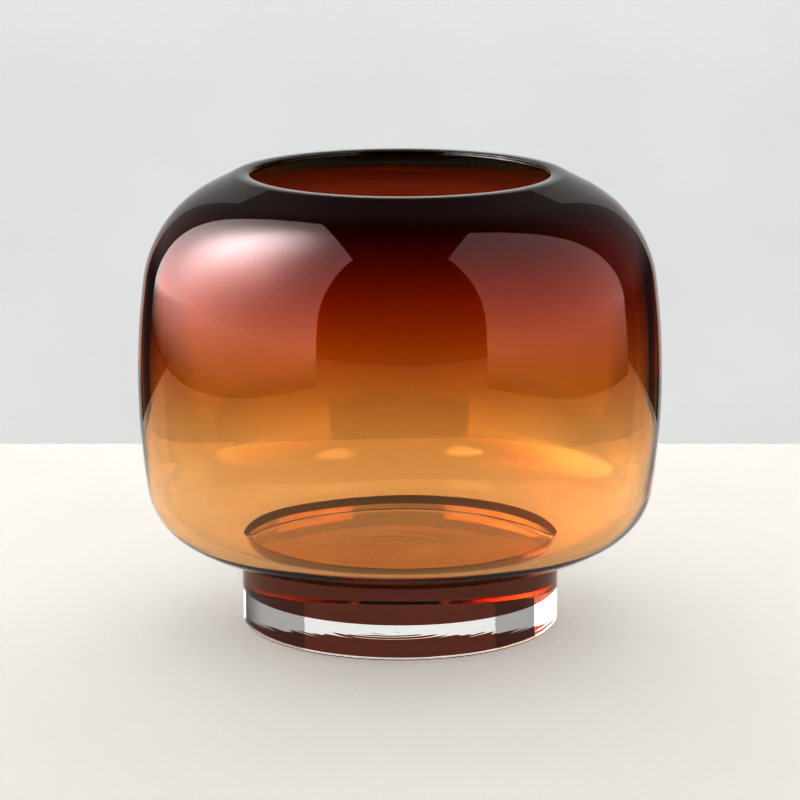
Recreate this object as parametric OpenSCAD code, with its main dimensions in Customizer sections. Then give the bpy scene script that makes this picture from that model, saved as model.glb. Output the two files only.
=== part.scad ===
// Footed bowl vase of cased, shaded glass.
// Millimetres, +Z up, origin at the centre of the face that the vase stands on.
// Every piece is a solid of revolution about Z, and neighbours meet face to face.

/* [Bowl outline] */
// Greatest outside diameter of the bowl
bowl_d = 200; // [196:1:206]
// Height from the table to the ground rim
vase_h = 174; // [166:1:184]
// Outside diameter of the ground rim
mouth_d = 125; // [116:1:130]
// Radius of the long, shallow arc round the belly
belly_r = 284; // [240:1:310]
// Angle above the horizontal at which the belly turns into the shoulder
shoulder_from = 7.8; // [6:0.1:9]
// Radius of the shoulder arc
shoulder_r = 46; // [42:0.5:50]
// Angle at which the shoulder turns into the straight crown
crown_from = 63.3; // [60:0.1:66]
// Angle below the horizontal at which the belly turns into the lower corner
corner_from = 8.7; // [7:0.1:10]
// Radius of the lower corner arc
corner_r = 23.5; // [18:0.5:28]
// Angle at which the lower corner turns into the flatter underside
underside_from = 59; // [54:0.5:64]

/* [Glass layers] */
// Thickness of the bowl wall, both layers together
wall_t = 4.5; // [4:0.1:6]
// Thickness of the clear casing outside the shaded layer
casing_t = 3; // [2:0.1:3.4]
// Width of the flat ground face round the mouth
rim_w = 5.6; // [4.5:0.1:6]

/* [Foot] */
// Outside diameter of the foot
foot_d = 122; // [112:1:130]
// Thickness of the clear disc at the bottom of the foot
base_h = 14; // [8:0.5:20]
// Radius of the polished edge that stands on the table
base_edge_r = 2; // [0.5:0.1:4]

/* [Hidden] */
$fn = 128;

bowl_r = bowl_d / 2;
mouth_r = mouth_d / 2;
foot_r = foot_d / 2;
hole_r = mouth_r - rim_w;
// More than the bowl's reach in any direction
reach = 2 * bowl_r;
// How far a cutter runs past the face that it opens
past = 1;
// Neighbouring stretches of the outline cross at this small angle, because a pair that only
// touched would leave a hairline step between them
crease = 0.4;
// How far an arc counts beyond its own ends, which is less than it overlaps its neighbours
lap = 0.15;

// The point at angle a, turned from +X towards +Y, on a circle of radius r about c
function on_arc(c, r, a) = c + r * [cos(a), sin(a)];

// The bowl's outline is a chain of arcs, as [distance from the axis, height above the belly's centre].
belly_c = [bowl_r - belly_r, 0];
shoulder_c = on_arc(on_arc(belly_c, belly_r, shoulder_from), -shoulder_r, shoulder_from + crease);
crown_start = on_arc(shoulder_c, shoulder_r, crown_from);
crown_normal = crown_from + crease;
rim_h = crown_start[1] + (crown_start[0] - mouth_r) / tan(crown_normal);
corner_c = on_arc(on_arc(belly_c, belly_r, -corner_from), -corner_r, -corner_from - crease);
underside_start = on_arc(corner_c, corner_r, -underside_from);
// The underside arc reaches the level floor of the bowl right above the side of the foot
underside_r = (underside_start[0] - foot_r) / (cos(underside_from + crease) - sin(crease));
underside_c = on_arc(underside_start, -underside_r, -underside_from - crease);
floor_h = underside_c[1] - underside_r * cos(crease);

belly_z = vase_h - rim_h;
foot_h = belly_z + floor_h;

clear_glass = [0.93, 0.94, 0.93, 0.35];
shaded_glass = [0.62, 0.27, 0.08, 0.75];
brown_glass = [0.36, 0.16, 0.09, 0.85];

// Inside the circle, at heights from low to high. Above and below them, everything.
module within_arc(c, r, low, high) {
    translate(c)
        circle(r = r);
    if (c[0] > 0)
        translate([0, -reach])
            square([c[0], 2 * reach]);
    translate([0, high])
        square([reach, reach]);
    translate([0, low - reach])
        square([reach, reach]);
}

// Between the bowl's level floor and its rim, and under the straight crown.
module within_floor_and_crown(inset) {
    start = on_arc(crown_start, -inset, crown_normal);
    outer_h = start[1] + (start[0] - reach) / tan(crown_normal);
    rim_x = start[0] + (start[1] - rim_h) * tan(crown_normal);
    polygon([[0, floor_h + inset], [reach, floor_h + inset], [reach, outer_h], [rim_x, rim_h], [0, rim_h]]);
}

// Half of the bowl's section with its skin moved inwards by inset. At 0 it is the outside.
module bowl_half(inset) {
    corner_low = on_arc(corner_c, corner_r - inset, -underside_from)[1] - lap;
    corner_high = on_arc(corner_c, corner_r - inset, -corner_from - crease)[1] + lap;
    shoulder_low = on_arc(shoulder_c, shoulder_r - inset, shoulder_from + crease)[1] - lap;
    shoulder_high = on_arc(shoulder_c, shoulder_r - inset, crown_from)[1] + lap;
    intersection() {
        within_floor_and_crown(inset);
        translate(belly_c)
            circle(r = belly_r - inset);
        within_arc(underside_c, underside_r - inset, -reach, underside_c[1]);
        within_arc(corner_c, corner_r - inset, corner_low, corner_high);
        within_arc(shoulder_c, shoulder_r - inset, shoulder_low, shoulder_high);
    }
}

// The straight ground hole of the mouth, cut through every layer that it meets.
module mouth_hole() {
    translate([0, rim_h - shoulder_r / 2])
        square([hole_r, shoulder_r / 2 + past]);
}

// One glass layer of the bowl, between two insets.
module bowl_layer(outer, inner) {
    translate([0, 0, belly_z])
        rotate_extrude()
            difference() {
                bowl_half(outer);
                bowl_half(inner);
                mouth_hole();
            }
}

// Clear outer casing of the bowl, with the ground rim.
module bowl_clear_casing() {
    color(clear_glass)
        bowl_layer(0, casing_t);
}

// Inner layer that is dark at the shoulder and amber at the floor.
module bowl_shaded_layer() {
    color(shaded_glass)
        bowl_layer(casing_t, wall_t);
}

// Brown upper part of the foot, fused under the bowl.
module foot_shaded_disc() {
    color(brown_glass)
        translate([0, 0, base_h])
            cylinder(r = foot_r, h = foot_h - base_h);
}

// Clear bottom part of the foot, with its polished lower edge.
module foot_clear_base() {
    color(clear_glass)
        rotate_extrude()
            intersection() {
                square([foot_r, base_h]);
                within_arc([foot_r - base_edge_r, base_edge_r], base_edge_r, 0, base_edge_r);
            }
}

bowl_clear_casing();
bowl_shaded_layer();
foot_shaded_disc();
foot_clear_base();
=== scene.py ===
from math import cos, exp, hypot, pi, radians, sin, tan

import bpy
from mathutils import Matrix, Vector, noise


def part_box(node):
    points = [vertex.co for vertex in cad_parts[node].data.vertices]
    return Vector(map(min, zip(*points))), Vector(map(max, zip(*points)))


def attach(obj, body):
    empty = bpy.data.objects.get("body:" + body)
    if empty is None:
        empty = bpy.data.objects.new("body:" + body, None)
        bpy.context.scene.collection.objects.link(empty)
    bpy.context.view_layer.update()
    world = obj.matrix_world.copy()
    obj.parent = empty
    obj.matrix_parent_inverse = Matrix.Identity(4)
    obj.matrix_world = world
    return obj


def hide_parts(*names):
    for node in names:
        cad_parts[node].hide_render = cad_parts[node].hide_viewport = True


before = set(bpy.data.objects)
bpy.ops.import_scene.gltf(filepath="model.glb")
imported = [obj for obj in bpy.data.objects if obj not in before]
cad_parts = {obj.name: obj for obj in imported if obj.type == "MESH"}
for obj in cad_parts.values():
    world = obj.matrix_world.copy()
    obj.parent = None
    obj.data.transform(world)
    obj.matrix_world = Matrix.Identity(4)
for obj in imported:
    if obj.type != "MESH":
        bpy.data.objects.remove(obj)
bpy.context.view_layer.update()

MM = 0.001

# ------------------------------------------------------------------ sizes

CASING_LOW, CASING_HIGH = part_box("bowl_clear_casing")
DISC_LOW, DISC_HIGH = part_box("foot_shaded_disc")

BOWL_R = CASING_HIGH.x
RIM_Z = CASING_HIGH.z
FOOT_R = DISC_HIGH.x
FOOT_TOP = DISC_HIGH.z
BASE_TOP = DISC_LOW.z

# How far the rim's bevels run, and how far the foot's colour lies inside its polished side
RIM_BEVEL = 0.6 * MM
COLOUR_INSET = 0.3 * MM

# Sizes and angles that the CAD's boxes don't give, as in its source
MOUTH_R = 62.5 * MM
HOLE_R = 56.9 * MM
WALL = 4.5 * MM
CASING = 3 * MM
BASE_EDGE = 2 * MM
BELLY_R = 284 * MM
SHOULDER_R = 46 * MM
CORNER_R = 23.5 * MM
SHOULDER_FROM = 7.8
CROWN_FROM = 63.3
UNDERSIDE_FROM = 59
# 0.1 less than the CAD's, whose arcs cross where these touch, so that the foot's top agrees
# within 0.2 mm
CORNER_FROM = 8.6

# Steps along each part of an outline, and round the axis
UNDERSIDE_STEPS = 24
CORNER_STEPS = 36
BELLY_STEPS = 40
SHOULDER_STEPS = 48
EDGE_STEPS = 10
DISC_STEPS = 24
SIDE_STEPS = 6
TURNS = 192


# ------------------------------------------------------------------ outline of the glass

def on_arc(centre, radius, angle):
    """The point at this angle, turned from outwards towards up, as (distance from the axis, height)."""
    return (centre[0] + radius * cos(radians(angle)), centre[1] + radius * sin(radians(angle)))


def arc(centre, radius, start, end, steps):
    return [on_arc(centre, radius, start + (end - start) * i / steps) for i in range(steps + 1)]


def across(radius, height):
    """A level face from the axis out to just short of this radius."""
    return [(radius * i / DISC_STEPS, height) for i in range(DISC_STEPS)]


def up_side(radius, low, high):
    """Points straight up a side, both ends included."""
    return [(radius, low + (high - low) * i / SIDE_STEPS) for i in range(SIDE_STEPS + 1)]


class Outline:
    """The bowl's arcs, each touching the next. Heights are lifted so that the rim meets the CAD's."""

    def __init__(self):
        self.belly = (BOWL_R - BELLY_R, 0)
        self.shoulder = on_arc(on_arc(self.belly, BELLY_R, SHOULDER_FROM), -SHOULDER_R, SHOULDER_FROM)
        self.corner = on_arc(on_arc(self.belly, BELLY_R, -CORNER_FROM), -CORNER_R, -CORNER_FROM)
        crown = on_arc(self.shoulder, SHOULDER_R, CROWN_FROM)
        rim = crown[1] + (crown[0] - MOUTH_R) / tan(radians(CROWN_FROM))
        start = on_arc(self.corner, CORNER_R, -UNDERSIDE_FROM)
        self.underside_r = (start[0] - FOOT_R) / cos(radians(UNDERSIDE_FROM))
        self.underside = on_arc(start, -self.underside_r, -UNDERSIDE_FROM)
        lift = RIM_Z - rim
        for name in ("belly", "shoulder", "corner", "underside"):
            x, z = getattr(self, name)
            setattr(self, name, (x, z + lift))

    def skin(self, inset):
        """From the floor's edge up to the straight crown, moved inwards by inset."""
        return (
            arc(self.underside, self.underside_r - inset, -90, -UNDERSIDE_FROM, UNDERSIDE_STEPS)
            + arc(self.corner, CORNER_R - inset, -UNDERSIDE_FROM, -CORNER_FROM, CORNER_STEPS)[1:]
            + arc(self.belly, BELLY_R - inset, -CORNER_FROM, SHOULDER_FROM, BELLY_STEPS)[1:]
            + arc(self.shoulder, SHOULDER_R - inset, SHOULDER_FROM, CROWN_FROM, SHOULDER_STEPS)[1:]
        )

    def crown(self, inset, radius):
        """Height of the straight crown at this distance from the axis."""
        x, z = on_arc(self.shoulder, SHOULDER_R - inset, CROWN_FROM)
        return z + (x - radius) / tan(radians(CROWN_FROM))


OUTLINE = Outline()


# ------------------------------------------------------------------ meshes

def turned(name, outline, materials, ripple=None, slots=None):
    """A skin turned about Z. ripple(point) gives the point moved, and slots each band's material."""
    vertices = []
    for radius, height in outline:
        for i in range(TURNS if radius > 0 else 1):
            angle = 2 * pi * i / TURNS
            point = Vector((radius * cos(angle), radius * sin(angle), height))
            vertices.append(ripple(point) if ripple else point)
    faces = []
    bands = []
    first = 0
    for k in range(len(outline) - 1):
        low = TURNS if outline[k][0] > 0 else 1
        high = TURNS if outline[k + 1][0] > 0 else 1
        for i in range(TURNS):
            j = (i + 1) % TURNS
            a, b = first + i % low, first + j % low
            c, d = first + low + j % high, first + low + i % high
            corners = []
            for corner in (a, b, c, d):
                if corner not in corners:
                    corners.append(corner)
            faces.append(corners)
            bands.append(slots[k] if slots else 0)
        first += low
    mesh = bpy.data.meshes.new(name)
    mesh.from_pydata(vertices, [], faces)
    for polygon, band in zip(mesh.polygons, bands):
        polygon.use_smooth = True
        polygon.material_index = band
    for material in materials:
        mesh.materials.append(material)
    mesh.validate()
    thing = bpy.data.objects.new(name, mesh)
    bpy.context.scene.collection.objects.link(thing)
    return thing


def add_piece(thing, node):
    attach(thing, "root")
    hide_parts(node)


# ------------------------------------------------------------------ materials

class Nodes:
    """A short way to build a material's node tree."""

    def __init__(self, name):
        self.material = bpy.data.materials.new(name)
        self.material.use_nodes = True
        self.tree = self.material.node_tree
        self.tree.nodes.clear()

    def add(self, kind, **inputs):
        node = self.tree.nodes.new("ShaderNode" + kind)
        for key, value in inputs.items():
            self.set(node, key.replace("_", " "), value)
        return node

    def set(self, node, key, value):
        if isinstance(value, bpy.types.NodeSocket):
            self.tree.links.new(value, node.inputs[key])
        else:
            node.inputs[key].default_value = value

    def math(self, operation, *values):
        node = self.add("Math")
        node.operation = operation
        for i, value in enumerate(values):
            self.set(node, i, value)
        return node.outputs[0]

    def noise(self, scale, detail=2.0):
        node = self.add("TexNoise", Scale=scale, Detail=detail)
        self.set(node, "Vector", self.place())
        return node.outputs["Fac"]

    def place(self):
        return self.add("TexCoord").outputs["Object"]

    def ramp(self, fac, stops):
        node = self.add("ValToRGB", Fac=fac)
        ramp = node.color_ramp
        while len(ramp.elements) > 1:
            ramp.elements.remove(ramp.elements[0])
        ramp.elements[0].position = stops[0][0]
        ramp.elements[0].color = (*stops[0][1], 1)
        for position, colour in stops[1:]:
            ramp.elements.new(position).color = (*colour, 1)
        return node.outputs["Color"]

    def glass(self, tint, roughness, shadow, ior=1.5):
        """Glass that shadow rays cross, taking the shadow colour."""
        shader = self.add("BsdfPrincipled", Base_Color=tint, Roughness=roughness, IOR=ior)
        self.set(shader, "Transmission Weight", 1.0)
        clear = self.add("BsdfTransparent", Color=shadow)
        mix = self.add("MixShader")
        self.tree.links.new(self.add("LightPath").outputs["Is Shadow Ray"], mix.inputs[0])
        self.tree.links.new(shader.outputs[0], mix.inputs[1])
        self.tree.links.new(clear.outputs[0], mix.inputs[2])
        return self.finish(mix.outputs[0])

    def finish(self, surface):
        out = self.add("OutputMaterial")
        self.tree.links.new(surface, out.inputs["Surface"])
        return self.material


# A colour inside the glass doesn't bend the light
SAME_IOR = 1.0

# Brightness of a surface's duller patches, and of the deeper patches in the brown
DULL = 0.985
DEEPER = 0.92

# What a shadow ray keeps at each surface that it crosses
SHADOW_OF_CLEAR = (0.985, 0.985, 0.985, 1)
SHADOW_OF_THICK = (0.99, 0.99, 0.99, 1)
SHADOW_OF_SHADED = (0.985, 0.965, 0.945, 1)
SHADOW_OF_BROWN = (0.93, 0.88, 0.85, 1)

# Optical depth of one wall, for red, green and blue: an even amber all over, a brown that
# deepens away from the lightest height, and a near black that sets in at the shoulder.
AMBER = (0.01, 0.19, 0.46)
BROWN = (0.168, 0.5, 1.26)
LIGHTEST = 50 * MM
DARK = (0.7, 1.5, 2.0)
DARK_FROM = 160 * MM
DARK_GROWS = 8.4 * MM
# How far up or down the streaks in the glass carry the colour
STREAK = 2.5 * MM
SHADE_STEPS = 24


def depth(height, channel):
    deeper = ((height - LIGHTEST) / LIGHTEST) ** 2
    return AMBER[channel] + BROWN[channel] * deeper + DARK[channel] * exp((height - DARK_FROM) / DARK_GROWS)


def shade(height):
    """What the glass lets through on two passes at this height."""
    return [exp(-2 * depth(height, channel)) for channel in range(3)]


def shaded_glass():
    m = Nodes("shaded_glass")
    tall = RIM_Z - FOOT_TOP
    split = m.add("SeparateXYZ", Vector=m.place())
    streaks = m.math("MULTIPLY_ADD", m.noise(scale=22.0), 2 * STREAK, -STREAK)
    height = m.math("ADD", split.outputs["Z"], streaks)
    share = m.math("DIVIDE", m.math("SUBTRACT", height, FOOT_TOP), tall)
    stops = [(i / SHADE_STEPS, shade(FOOT_TOP + tall * i / SHADE_STEPS)) for i in range(SHADE_STEPS + 1)]
    return m.glass(m.ramp(share, stops), 0.0, SHADOW_OF_SHADED, SAME_IOR)


def clear_glass(name, roughness=0.0, shadow=SHADOW_OF_CLEAR):
    m = Nodes(name)
    tint = (0.99, 0.985, 0.97)
    dusty = [c * DULL for c in tint]
    patches = m.ramp(m.noise(scale=30.0), [(0.35, dusty), (0.6, tint)])
    return m.glass(patches, roughness, shadow)


def brown_glass(name, tint):
    m = Nodes(name)
    deeper = [c * DEEPER for c in tint]
    patches = m.ramp(m.noise(scale=40.0), [(0.3, deeper), (0.7, tint)])
    return m.glass(patches, 0.0, SHADOW_OF_BROWN, SAME_IOR)


# ------------------------------------------------------------------ the vase

def waves(size, amount, seed):
    """Slow waves of hand-blown glass, which push outwards at the wall and upwards at the axis."""
    offset = Vector((seed, 2 * seed, 3 * seed))

    def moved(point):
        push = amount * noise.noise(point / size + offset)
        sideways = Vector((point.x, point.y, 0))
        outwards = sideways.normalized() if sideways.length > 0 else Vector((0, 0, 0))
        steep = min(1, hypot(point.x, point.y) / BOWL_R)
        return point + outwards * push * steep + Vector((0, 0, push * (1 - steep)))

    return moved


CLEAR = clear_glass("clear_glass")
INSIDE = clear_glass("inner_glass", shadow=SHADOW_OF_THICK)
GROUND = clear_glass("ground_glass", roughness=0.02)
BASE = clear_glass("base_glass", shadow=SHADOW_OF_THICK)
SHADED = shaded_glass()
BROWN_ACROSS = brown_glass("brown_glass_across", (0.075, 0.013, 0.008))
BROWN_DOWN = brown_glass("brown_glass_down", (0.99, 0.76, 0.55))

# The casing's outside and its ground rim
crown_edge = MOUTH_R + RIM_BEVEL * sin(radians(CROWN_FROM))
casing_outline = OUTLINE.skin(0) + [
    (crown_edge, OUTLINE.crown(0, crown_edge)),
    (MOUTH_R, RIM_Z),
    (HOLE_R + RIM_BEVEL / 2, RIM_Z),
    (HOLE_R, RIM_Z - RIM_BEVEL / 2),
    (HOLE_R, OUTLINE.crown(CASING, HOLE_R)),
]
# Its two bevels, its top and the side of the hole
ground_bands = 4
casing_slots = [0] * (len(casing_outline) - 1 - ground_bands) + [1] * ground_bands
casing = turned("bowl_casing_skin", casing_outline, [CLEAR, GROUND], slots=casing_slots)
add_piece(casing, "bowl_clear_casing")

# The shaded layer: its colour where it meets the casing, and the polished inside of the bowl
layer_skin = OUTLINE.skin(CASING)
inner_skin = OUTLINE.skin(WALL)
layer_outside = across(*layer_skin[0]) + layer_skin + [(HOLE_R, OUTLINE.crown(CASING, HOLE_R))]
layer_inside = across(*inner_skin[0]) + inner_skin + [(HOLE_R, OUTLINE.crown(WALL, HOLE_R))]
layer_outline = layer_outside + layer_inside[::-1]
outside_bands = len(layer_outside) - 1
layer_slots = [0] * outside_bands + [1] * len(layer_inside)
layer = turned(
    "bowl_shaded_layer_glass", layer_outline, [SHADED, INSIDE], waves(38 * MM, 0.25 * MM, 3.7), layer_slots
)
add_piece(layer, "bowl_shaded_layer")

# The foot's brown disc: its polished side, and the colour just inside it
disc = turned("foot_disc_skin", up_side(FOOT_R, BASE_TOP, FOOT_TOP), [BASE])
add_piece(disc, "foot_shaded_disc")

colour_high = FOOT_TOP - COLOUR_INSET
colour_r = FOOT_R - COLOUR_INSET
colour_bottom = across(colour_r, BASE_TOP)
colour_top = across(colour_r, colour_high)[::-1]
colour_outline = colour_bottom + up_side(colour_r, BASE_TOP, colour_high) + colour_top
colour_slots = [0] * DISC_STEPS + [1] * SIDE_STEPS + [0] * DISC_STEPS
colour = turned("foot_disc_colour", colour_outline, [BROWN_DOWN, BROWN_ACROSS], slots=colour_slots)
add_piece(colour, "foot_shaded_disc")

# The clear disc that the vase stands on
RING_STEPS = 96
RING_WIDTH = 1.6 * MM
RING_DEPTH = 0.02 * MM
RING_WANDER = 1.5
UNDER_R = FOOT_R - BASE_EDGE


def rings(point):
    """Faint rings that grinding left on the underside."""
    radius = hypot(point.x, point.y)
    if radius >= UNDER_R:
        return point
    around = Vector((point.x, point.y, 0)).normalized() * RING_WANDER
    height = noise.noise(Vector((radius / RING_WIDTH, 0, 0)) + around)
    return point + Vector((0, 0, RING_DEPTH * (1 + height)))


under = [(UNDER_R * i / RING_STEPS, 0) for i in range(RING_STEPS)]
edge = arc((UNDER_R, BASE_EDGE), BASE_EDGE, -90, 0, EDGE_STEPS)
side = up_side(FOOT_R, BASE_EDGE, BASE_TOP)[1:]
base = turned("foot_clear_base_skin", under + edge + side, [BASE], rings)
add_piece(base, "foot_clear_base")


# ------------------------------------------------------------------ table, wall and light

def flat(name, corners, material):
    mesh = bpy.data.meshes.new(name)
    mesh.from_pydata([Vector(c) for c in corners], [], [range(len(corners))])
    mesh.materials.append(material)
    thing = bpy.data.objects.new(name, mesh)
    bpy.context.scene.collection.objects.link(thing)
    return thing


def matt(name, colour, glow):
    m = Nodes(name)
    darker = [c * DULL for c in colour]
    tint = m.ramp(m.noise(scale=9.0, detail=4.0), [(0.35, darker), (0.65, colour)])
    shader = m.add("BsdfPrincipled", Base_Color=tint, Emission_Color=tint, Emission_Strength=glow)
    m.set(shader, "Roughness", 0.9)
    m.set(shader, "Specular IOR Level", 0.1)
    return m.finish(shader.outputs[0])


def fall_off(m, value, middle, below, above):
    """How far a value is from the middle, squared, in widths that differ on the two sides."""
    gap = m.math("SUBTRACT", value, middle)
    width = m.math("MULTIPLY_ADD", m.math("GREATER_THAN", gap, 0.0), above - below, below)
    ratio = m.math("DIVIDE", gap, width)
    return m.math("MULTIPLY", ratio, ratio)


def upright(name, x, y_from, y_to, strength, lamp=None):
    """A standing light panel, bright in a mirrored view only. lamp is (y, z, extra strength)."""
    m = Nodes(name)
    split = m.add("SeparateXYZ", Vector=m.place())
    glow = strength
    if lamp:
        lamp_y, lamp_z, extra = lamp
        along = fall_off(m, split.outputs["Y"], lamp_y, LAMP_NEAR, LAMP_BEYOND)
        far = m.math("ADD", along, fall_off(m, split.outputs["Z"], lamp_z, LAMP_BELOW, LAMP_ABOVE))
        glow = m.math("MULTIPLY_ADD", m.math("EXPONENT", m.math("MULTIPLY", far, -1.0)), extra, strength)
    rise = m.math("MINIMUM", m.math("DIVIDE", split.outputs["Z"], PANEL_FADE), 1.0)
    mirrored = m.math("MINIMUM", m.add("LightPath").outputs["Glossy Depth"], 1.0)
    plain = m.math("MULTIPLY_ADD", mirrored, -PALE, PALE)
    level = m.math("MULTIPLY_ADD", mirrored, m.math("MULTIPLY", rise, glow), plain)
    shader = m.add("Emission", Strength=level)
    corners = [(x, y_from, 0), (x, y_to, 0), (x, y_to, PANEL_TOP), (x, y_from, PANEL_TOP)]
    thing = flat(name, corners, m.finish(shader.outputs[0]))
    thing.visible_camera = False
    thing.visible_diffuse = False
    thing.visible_shadow = False


def area(name, place, aim, width, height, power):
    light = bpy.data.lights.new(name, "AREA")
    light.shape = "RECTANGLE"
    light.size = width
    light.size_y = height
    light.energy = power
    thing = bpy.data.objects.new(name, light)
    thing.location = place
    thing.rotation_euler = (Vector(aim) - Vector(place)).to_track_quat("-Z", "Y").to_euler()
    thing.visible_glossy = False
    thing.visible_transmission = False
    bpy.context.scene.collection.objects.link(thing)


# The table stops behind the vase, and the wall stands further back and reaches below it. A
# thin gap under the vase keeps its polished base reflecting.
TABLE_Z = -0.2 * MM
TABLE_BACK = 0.29
TABLE_FRONT = -3.5
TABLE_SIDE = 3.5
WALL_Y = 1.6
WALL_HALF = 0.76
WALL_TOP = 1.8
WALL_BOTTOM = -0.9

flat(
    "table",
    [
        (-TABLE_SIDE, TABLE_FRONT, TABLE_Z),
        (TABLE_SIDE, TABLE_FRONT, TABLE_Z),
        (TABLE_SIDE, TABLE_BACK, TABLE_Z),
        (-TABLE_SIDE, TABLE_BACK, TABLE_Z),
    ],
    matt("table_paint", (0.93, 0.91, 0.88), glow=0.42),
)
flat(
    "wall",
    [
        (-WALL_HALF, WALL_Y, WALL_BOTTOM),
        (WALL_HALF, WALL_Y, WALL_BOTTOM),
        (WALL_HALF, WALL_Y, WALL_TOP),
        (-WALL_HALF, WALL_Y, WALL_TOP),
    ],
    matt("wall_paint", (0.86, 0.868, 0.865), glow=0.77),
)

# How bright the panels and the studio look, except in a mirrored view
PALE = 0.85
PANEL_X = 0.65
PANEL_TOP = 2.2
# The panels fade in over this height
PANEL_FADE = 0.12
# How far the left panel's lamp spreads, towards the camera, away from it, down and up
LAMP_NEAR = 0.38
LAMP_BEYOND = 0.27
LAMP_BELOW = 0.42
LAMP_ABOVE = 0.8
LEFT_LAMP = (0.15 * PANEL_X, 0.155 + 0.85 * PANEL_X, 13)

upright("left_panel", -PANEL_X, y_from=-1.45 * PANEL_X, y_to=1.02 * PANEL_X, strength=3.7, lamp=LEFT_LAMP)
upright("right_panel", PANEL_X, y_from=-1.38 * PANEL_X, y_to=0.36 * PANEL_X, strength=2.8)

LOW_ON_VASE = (0, 0, 0.05)

area("left_light", (-1.1, 0.35, 1.3), LOW_ON_VASE, width=1.4, height=1.4, power=1)
area("right_light", (1.2, 0.4, 1.5), LOW_ON_VASE, width=1.2, height=1.2, power=0.5)
area("top_light", (0, -0.8, 1.7), (0, -0.5, 0), width=1.6, height=1.6, power=4)
area("wall_light", (0, 0.3, 2.6), (0, WALL_Y, 0.9), width=1.6, height=0.5, power=26)

# Mirrored, or as light on a matt surface, the studio is dark round the camera, grey behind the
# vase and dimmer below the table. Looked at straight or through the glass, it is pale all round.
DARK_STUDIO = 0.03
GREY_STUDIO = 0.6
BELOW_TABLE = 0.25
world = bpy.data.worlds.new("studio")
bpy.context.scene.world = world
world.use_nodes = True
sky = world.node_tree


def step(value, low, high, low_level, high_level):
    node = sky.nodes.new("ShaderNodeMapRange")
    sky.links.new(value, node.inputs["Value"])
    levels = {"From Min": low, "From Max": high, "To Min": low_level, "To Max": high_level}
    for key, number in levels.items():
        node.inputs[key].default_value = number
    return node.outputs["Result"]


def joined(operation, first, second):
    node = sky.nodes.new("ShaderNodeMath")
    node.operation = operation
    sky.links.new(first, node.inputs[0])
    sky.links.new(second, node.inputs[1])
    return node.outputs[0]


direction = sky.nodes.new("ShaderNodeSeparateXYZ")
sky.links.new(sky.nodes.new("ShaderNodeTexCoord").outputs["Generated"], direction.inputs[0])
behind = step(direction.outputs["Y"], 0.2, 0.6, DARK_STUDIO, GREY_STUDIO)
above = step(direction.outputs["Z"], -0.05, 0.1, BELOW_TABLE, 1.0)
path = sky.nodes.new("ShaderNodeLightPath").outputs
seen = step(joined("ADD", path["Glossy Depth"], path["Diffuse Depth"]), 0, 1, PALE, 0)
level = joined("MAXIMUM", joined("MULTIPLY", behind, above), seen)
sky.nodes["Background"].inputs["Color"].default_value = (1, 1, 1, 1)
sky.links.new(level, sky.nodes["Background"].inputs["Strength"])

# ------------------------------------------------------------------ camera and look

CAMERA_DISTANCE = 1.2794
CAMERA_ELEVATION = 12.61
CAMERA_AIM = Vector((0, 0, 0.0859))
CAMERA_LENS = 150.2
# How much steeper the picture's tones are than the light's
TONE = 1.8
# Enough for light that crosses every layer of the vase several times
THROUGH_GLASS = 24

camera_data = bpy.data.cameras.new("camera")
camera_data.lens = CAMERA_LENS
camera_data.sensor_width = 36
camera_data.clip_end = 20
camera = bpy.data.objects.new("camera", camera_data)
bpy.context.scene.collection.objects.link(camera)
lean = radians(CAMERA_ELEVATION)
camera.location = CAMERA_AIM + CAMERA_DISTANCE * Vector((0, -cos(lean), sin(lean)))
camera.rotation_euler = (CAMERA_AIM - camera.location).to_track_quat("-Z", "Y").to_euler()
bpy.context.scene.camera = camera

scene = bpy.context.scene
scene.view_settings.view_transform = "Standard"
scene.view_settings.look = "None"
scene.view_settings.gamma = 1 / TONE
scene.cycles.max_bounces = THROUGH_GLASS
scene.cycles.transmission_bounces = THROUGH_GLASS
scene.cycles.glossy_bounces = 8
scene.cycles.diffuse_bounces = 3
scene.cycles.transparent_max_bounces = THROUGH_GLASS
scene.cycles.caustics_reflective = False
scene.cycles.caustics_refractive = False
scene.cycles.use_denoising = True
